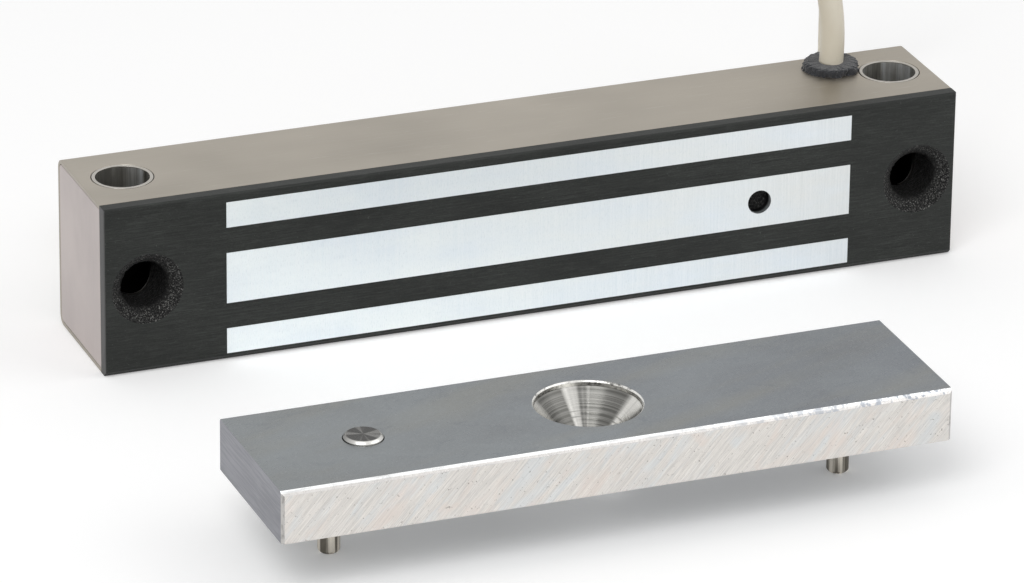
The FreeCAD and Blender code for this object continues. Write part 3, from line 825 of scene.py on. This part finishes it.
def hank_fold(side, lane, next_lane, z):
    """A half turn at the hank's end, from one run to the other."""
    points = []
    for step in range(FOLD_STEPS + 1):
        share = step / FOLD_STEPS
        radius = FOLD_INNER + (lane + (next_lane - lane) * ease(share)) * CABLE_DIAMETER
        angle = math.pi * share
        x = HANK_X - side * (HANK_HALF + radius * math.sin(angle))
        points.append(Vector((x, HANK_Y - side * radius * math.cos(angle), z)))
    return points


def cable_points():
    """The whole cable: out of the washer, over and down behind, round the hank and out to its end."""
    floor_start = Vector((CABLE_X, CABLE_Y, CABLE_RADIUS))
    points = [CABLE_EXIT] + [CABLE_EXIT + step for step in CABLE_ROUTE]
    points += [floor_start + step for step in FLOOR_ROUTE]
    points.append(Vector((CABLE_X - LANE_TURN, FRONT_LANE_Y, CABLE_RADIUS)))
    points.append(Vector((HANK_START, FRONT_LANE_Y, CABLE_RADIUS)))
    heights = [CABLE_RADIUS * (1 + 2 * layer) for layer in SIDE_LAYERS]
    side = 1
    for run, lane in enumerate(SIDE_LANES):
        points += hank_side(side, lane, heights[run], heights[run + 1])
        if run + 1 < len(SIDE_LANES):
            points += hank_fold(side, lane, SIDE_LANES[run + 1], heights[run + 1])
            side = -side
    top = heights[-1]
    points.append(Vector((HANK_START, BACK_LANE_Y, top)))
    for step in range(END_STEPS + 1):
        share = step / END_STEPS
        z = top + (CABLE_RADIUS - top) * ease(share)
        points.append(Vector((HANK_START + END_LEVEL + END_FALL * share, BACK_LANE_Y, z)))
    points.append(Vector((end_high.x, BACK_LANE_Y, CABLE_RADIUS)))
    return points


def tail_points(index, count):
    """One conductor's way out of the jacket's end."""
    start = Vector((end_high.x, BACK_LANE_Y, CABLE_RADIUS))
    side = index - (count - 1) / 2
    points = []
    for reach, fall, fan in TAIL_SHAPE:
        across = side * (TAIL_PITCH + (TAIL_SPREAD - TAIL_PITCH) * fan)
        drop = (CABLE_RADIUS - CONDUCTOR / 2) * fall
        points.append(start + Vector((TAIL_LENGTH * reach, across, -drop)))
    return points


def copper_strands(points):
    """One straight strand and the twisted ones round it, beyond a conductor's end, as point rows."""
    along = points[-1] - points[-2]
    along.z = 0.0
    along.normalize()
    beside = Vector((-along.y, along.x, 0.0))
    rows = [[points[-1], points[-1] + along * TAIL_BARE]]
    for strand in range(OUTER_STRANDS):
        row = []
        for step in range(STRAND_STEPS + 1):
            share = step / STRAND_STEPS
            angle = 2 * math.pi * (strand / OUTER_STRANDS + share * STRAND_TURNS)
            offset = beside * math.cos(angle) + UP * math.sin(angle)
            row.append(points[-1] + along * TAIL_BARE * share + offset * STRAND)
        rows.append(row)
    return rows


def add_cable(cream):
    """The cable as one cord, its tie, its four conductors and their copper ends."""
    cord = cord_curve("cable", [cable_points()], CABLE_RADIUS, cream)
    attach(cord, ROOT)
    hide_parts("cable_run", "cable_hank", "cable_end")
    pieces = [finer("cable_tie", 0.25 * MM, [woven()])]
    copper = drawn_steel("copper", (0.72, 0.34, 0.18), (0.5, 0.2, 0.1), (0.003, 0.0003, 0.0003))
    for index, (name, colour) in enumerate(TAIL_COLOURS.items()):
        light = tuple(min(1.0, part * LIGHTER_GAIN + LIGHTER_LIFT) for part in colour)
        insulation = moulded("insulation_" + name, colour, light)
        points = tail_points(index, len(TAIL_COLOURS))
        tail = cord_curve("tail_" + name, [points], CONDUCTOR / 2, insulation)
        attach(tail, ROOT)
        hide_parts("conductor_tails")
        strands = cord_curve("strands_" + name, copper_strands(points), STRAND / 2, copper)
        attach(strands, ROOT)
        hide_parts("copper_ends")
        pieces += [tail, strands]


# The magnet

def washer_profile(inner, outer, height):
    """Radius and level round the washer's section: up its bore, over its crown, down to its lower edge."""
    profile = [(inner, 0.0), (inner, height)]
    for step in range(WASHER_ROWS):
        angle = math.pi / 2 * step / (WASHER_ROWS - 1)
        reach = WASHER_TOP + WASHER_SWELL * math.sin(angle)
        level = WASHER_FOOT + (1 - WASHER_FOOT) * math.cos(angle) ** WASHER_CROWN
        profile.append((inner + (outer - inner) * reach, height * level))
    profile.append((outer, 0.0))
    return profile


def add_washer():
    """Felt washer round the cable: lumpy, with a ragged lower edge that flares."""
    inner = CABLE_RADIUS
    outer = (washer_high.x - washer_low.x) / 2
    height = washer_high.z - washer_low.z
    centre = Vector((CABLE_X, CABLE_Y, washer_low.z))
    rows = []
    for radius, level in washer_profile(inner, outer, height):
        free = (radius - inner) / (outer - inner)
        flare = FLARE_AT_TOP + (1 - FLARE_AT_TOP) * (1.0 - level / height)
        row = []
        for step in range(WASHER_AROUND):
            angle = 2 * math.pi * step / WASHER_AROUND
            outward = Vector((math.cos(angle), math.sin(angle), 0.0))
            point = centre + outward * radius + UP * level
            lump = noise.fractal(point * LUMPS, *LUMPY)
            tear = noise.fractal(outward * TEARS_ROUND + UP * (level * TEARS_UP), *RAGGED)
            lobe = noise.noise(outward * LOBES_ROUND)
            rag = (tear * TEAR_SHARE + lobe + WASHER_FLARE) * flare * WASHER_RAG
            push = free * (lump * LUMP_PUSH + rag)
            lift = free * lump * LUMP_LIFT if level > 0.0 else 0.0
            row.append(point + outward * push + UP * lift)
        rows.append(row)
    washer = lathe("felt_washer", rows, closed=True)
    washer.data.materials.append(felt())
    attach(washer, ROOT)
    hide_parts("cable_washer")


def add_mouth(side, material):
    """Broken, pitted resin on a screw opening's cone and the front of its bore."""
    centre = Vector((TUBE_X[side], resin_low.y, SCREW_Z))
    rim = MOUTH_RADIUS - MOUTH_CHAMFER
    depth = TUBE_Y - CONE_DEPTH - HEAD_RADIUS - resin_low.y
    rows = []
    for index in range(MOUTH_ROWS):
        share = index / (MOUTH_ROWS - 1)
        back = MOUTH_CHAMFER + (depth - MOUTH_CHAMFER) * share
        slant = min(1.0, (back - MOUTH_CHAMFER) / (CONE_DEPTH - MOUTH_CHAMFER))
        radius = rim + (HEAD_RADIUS - rim) * slant
        fade = min(1.0, FADE_IN * share, FADE_OUT * (1.0 - share))
        row = []
        for step in range(MOUTH_AROUND):
            angle = 2 * math.pi * step / MOUTH_AROUND
            outward = Vector((math.cos(angle), 0.0, math.sin(angle)))
            point = centre + outward * radius + Vector((0, back, 0))
            rough = noise.fractal(point * MOUTH_BITS, *LUMPY)
            lift = fade * ROUGH_LIFT * max(0.0, ROUGH_REST + ROUGH_GAIN * rough)
            row.append(point - outward * (lift + LINING_GAP))
        rows.append(row)
    mouth = lathe("rough_mouth_" + side, rows, closed=False)
    mouth.data.materials.append(material)
    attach(mouth, ROOT)


def pick_resin(normal, centre):
    """0 for the resin's ground front, 1 for its ends, 2 inside the screw openings and the sensor's hole."""
    if centre.y > resin_low.y + FRONT_LEEWAY:
        for x in (*TUBE_X.values(), SENSOR_X):
            if math.hypot(centre.x - x, centre.z - SCREW_Z) < MOUTH_RADIUS:
                return 2
    return 1 if abs(normal.x) > RESIN_END else 0


def add_magnet():
    ends = end_steel()
    tube = tube_steel()
    pitted = resin_pitted()
    finer("housing_channel", 0.22 * MM, [housing_steel()])
    for side in TUBE_X:
        finer("end_plate_" + side, 0.25 * MM, [ends])
    for side in TUBE_X:
        finer("mounting_tube_" + side, 0.15 * MM, [tube])
    finer("core_laminations", 0.06 * MM, [core_steel()])
    finer("resin_block", 0.12 * MM, [resin(), resin_lit_side(), pitted], pick=pick_resin)
    for side in TUBE_X:
        add_mouth(side, pitted)
    add_washer()


def dress_inside(cream):
    """The buried pieces, seen only when the magnet is opened up."""
    copper = drawn_steel("lead_copper", (0.72, 0.36, 0.2), (0.5, 0.22, 0.12), (0.0004, 0.004, 0.0004))
    dress("coil_former", moulded("former_plastic", (0.66, 0.63, 0.52), (0.74, 0.71, 0.6)))
    dress("coil_winding", winding())
    dress("coil_leads", copper)
    dress("circuit_board", moulded("board_green", (0.02, 0.12, 0.04), (0.03, 0.17, 0.06), roughness=0.35))
    dress("surge_suppressor", moulded("disc_blue", (0.02, 0.06, 0.22), (0.03, 0.09, 0.3), roughness=0.25))
    dress("bond_sensor", moulded("sensor_black", (0.01, 0.01, 0.01), (0.03, 0.03, 0.03)))
    dress("sensor_leads", copper)
    dress("cable_stub", cream)
    dress("cable_conductors", moulded("conductor_red", (0.35, 0.02, 0.015), (0.45, 0.03, 0.02)))


# The armature plate

def pick_plate(normal, centre):
    """0 top and underside, 1 dimple and bores, 2 long sides, 3 ends, 4 chamfers, 5 upright corners."""
    apart = math.hypot(centre.x - PLATE_X, centre.y - PLATE_Y)
    inside = apart < DIMPLE_RADIUS + DIMPLE_EDGE
    if inside and abs(normal.z) < DIMPLE_LEVEL:
        return 1
    if abs(normal.z) > PLATE_LEVEL:
        return 0
    if abs(normal.z) > PLATE_SLANT:
        return 4
    if abs(normal.x) > PLATE_END:
        return 3
    return 5 if abs(normal.x) > PLATE_SLANT and not inside else 2


def add_spring(wire):
    """The button's spring, a copy of the CAD coil in its own wire."""
    mesh = frame["nodes"]["button_spring"].data.copy()
    mesh.materials.clear()
    mesh.materials.append(wire)
    spring = link("coil_spring", mesh)
    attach(spring, ROOT)
    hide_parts("button_spring")
    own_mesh(spring)


def add_plate():
    # Each face of the plate takes its own base colour: the dark top is partly painted shade and the pale long
    # sides partly painted reflection.
    materials = [plate_top(), dimple_steel(), plate_side(), plate_end(), plate_edge(), plate_corner()]
    finer("armature_plate", 0.12 * MM, materials, pick=pick_plate)
    # Pins: their bright and dark upright bands are partly drawn marks and partly a painted reflection streak
    pin = drawn_steel(
        "pin_steel", (0.86, 0.8, 0.7), (0.1, 0.088, 0.07), (0.0026, 0.0026, 0.08), start=0.44, end=0.54
    )
    finer("dowel_pin_left", 0.3 * MM, [pin])
    finer("dowel_pin_right", 0.3 * MM, [pin])
    finer("release_button", 0.12 * MM, [button_steel()], BUTTON)
    finer("button_screw", 0.08 * MM, [pin], BUTTON)
    add_spring(drawn_steel("spring_wire", (0.4, 0.39, 0.37), (0.25, 0.24, 0.22), (0.002, 0.002, 0.0004)))


# The room

def add_floor():
    """Pale floor that keeps the object's shadow and shows nearly white to the camera and in reflections."""
    made = Shader("floor", (0.9, 0.9, 0.9), roughness=0.9, Specular_IOR_Level=0.1)
    path = made.node("LightPath")
    seen = made.node("Math", operation="MAXIMUM")
    made.join(path.outputs["Is Camera Ray"], seen.inputs[0])
    made.join(path.outputs["Is Glossy Ray"], seen.inputs[1])
    lift = made.node("Math", operation="MULTIPLY")
    lift.inputs[1].default_value = FLOOR_LIFT
    made.join(seen.outputs[0], lift.inputs[0])
    made.set("Emission Color", WHITE)
    made.join(lift.outputs[0], made.bsdf.inputs["Emission Strength"])
    half = FLOOR_SIZE / 2
    mesh = bpy.data.meshes.new("floor")
    corners = [(-half, -half, 0), (half, -half, 0), (half, half, 0), (-half, half, 0)]
    mesh.from_pydata(corners, [], [(0, 1, 2, 3)])
    mesh.materials.append(made.material)
    floor = link("floor", mesh)


def add_world():
    """White to the camera and in reflections, softer on matt surfaces."""
    world = bpy.data.worlds.new("world")
    world.use_nodes = True
    tree = world.node_tree
    tree.nodes.clear()
    output = tree.nodes.new("ShaderNodeOutputWorld")
    background = tree.nodes.new("ShaderNodeBackground")
    path = tree.nodes.new("ShaderNodeLightPath")
    background.inputs["Color"].default_value = WHITE
    seen = path.outputs["Is Camera Ray"]
    for name in ("Is Glossy Ray", "Is Transmission Ray"):
        either = tree.nodes.new("ShaderNodeMath")
        either.operation = "MAXIMUM"
        tree.links.new(seen, either.inputs[0])
        tree.links.new(path.outputs[name], either.inputs[1])
        seen = either.outputs[0]
    strength = tree.nodes.new("ShaderNodeMapRange")
    strength.inputs["To Min"].default_value = WORLD_DIFFUSE
    strength.inputs["To Max"].default_value = WORLD_SEEN
    tree.links.new(seen, strength.inputs["Value"])
    tree.links.new(strength.outputs[0], background.inputs["Strength"])
    tree.links.new(background.outputs[0], output.inputs[0])
    bpy.context.scene.world = world


def add_lamp(name, place, size, power):
    """A soft square lamp aimed at the object."""
    data = bpy.data.lights.new(name, "AREA")
    data.shape = "SQUARE"
    data.size = size
    data.energy = power
    lamp = link(name, data)
    lamp.location = place
    lamp.rotation_euler = place.to_track_quat("Z", "Y").to_euler()


cream = jacket()
add_camera()
add_cable(cream)
add_magnet()
dress_inside(cream)
add_plate()
add_floor()
add_world()
add_lamp("key", KEY_PLACE, KEY_SIZE, KEY_POWER)
add_lamp("fill", FILL_PLACE, FILL_SIZE, FILL_POWER)
bpy.context.scene.view_settings.view_transform = "Standard"
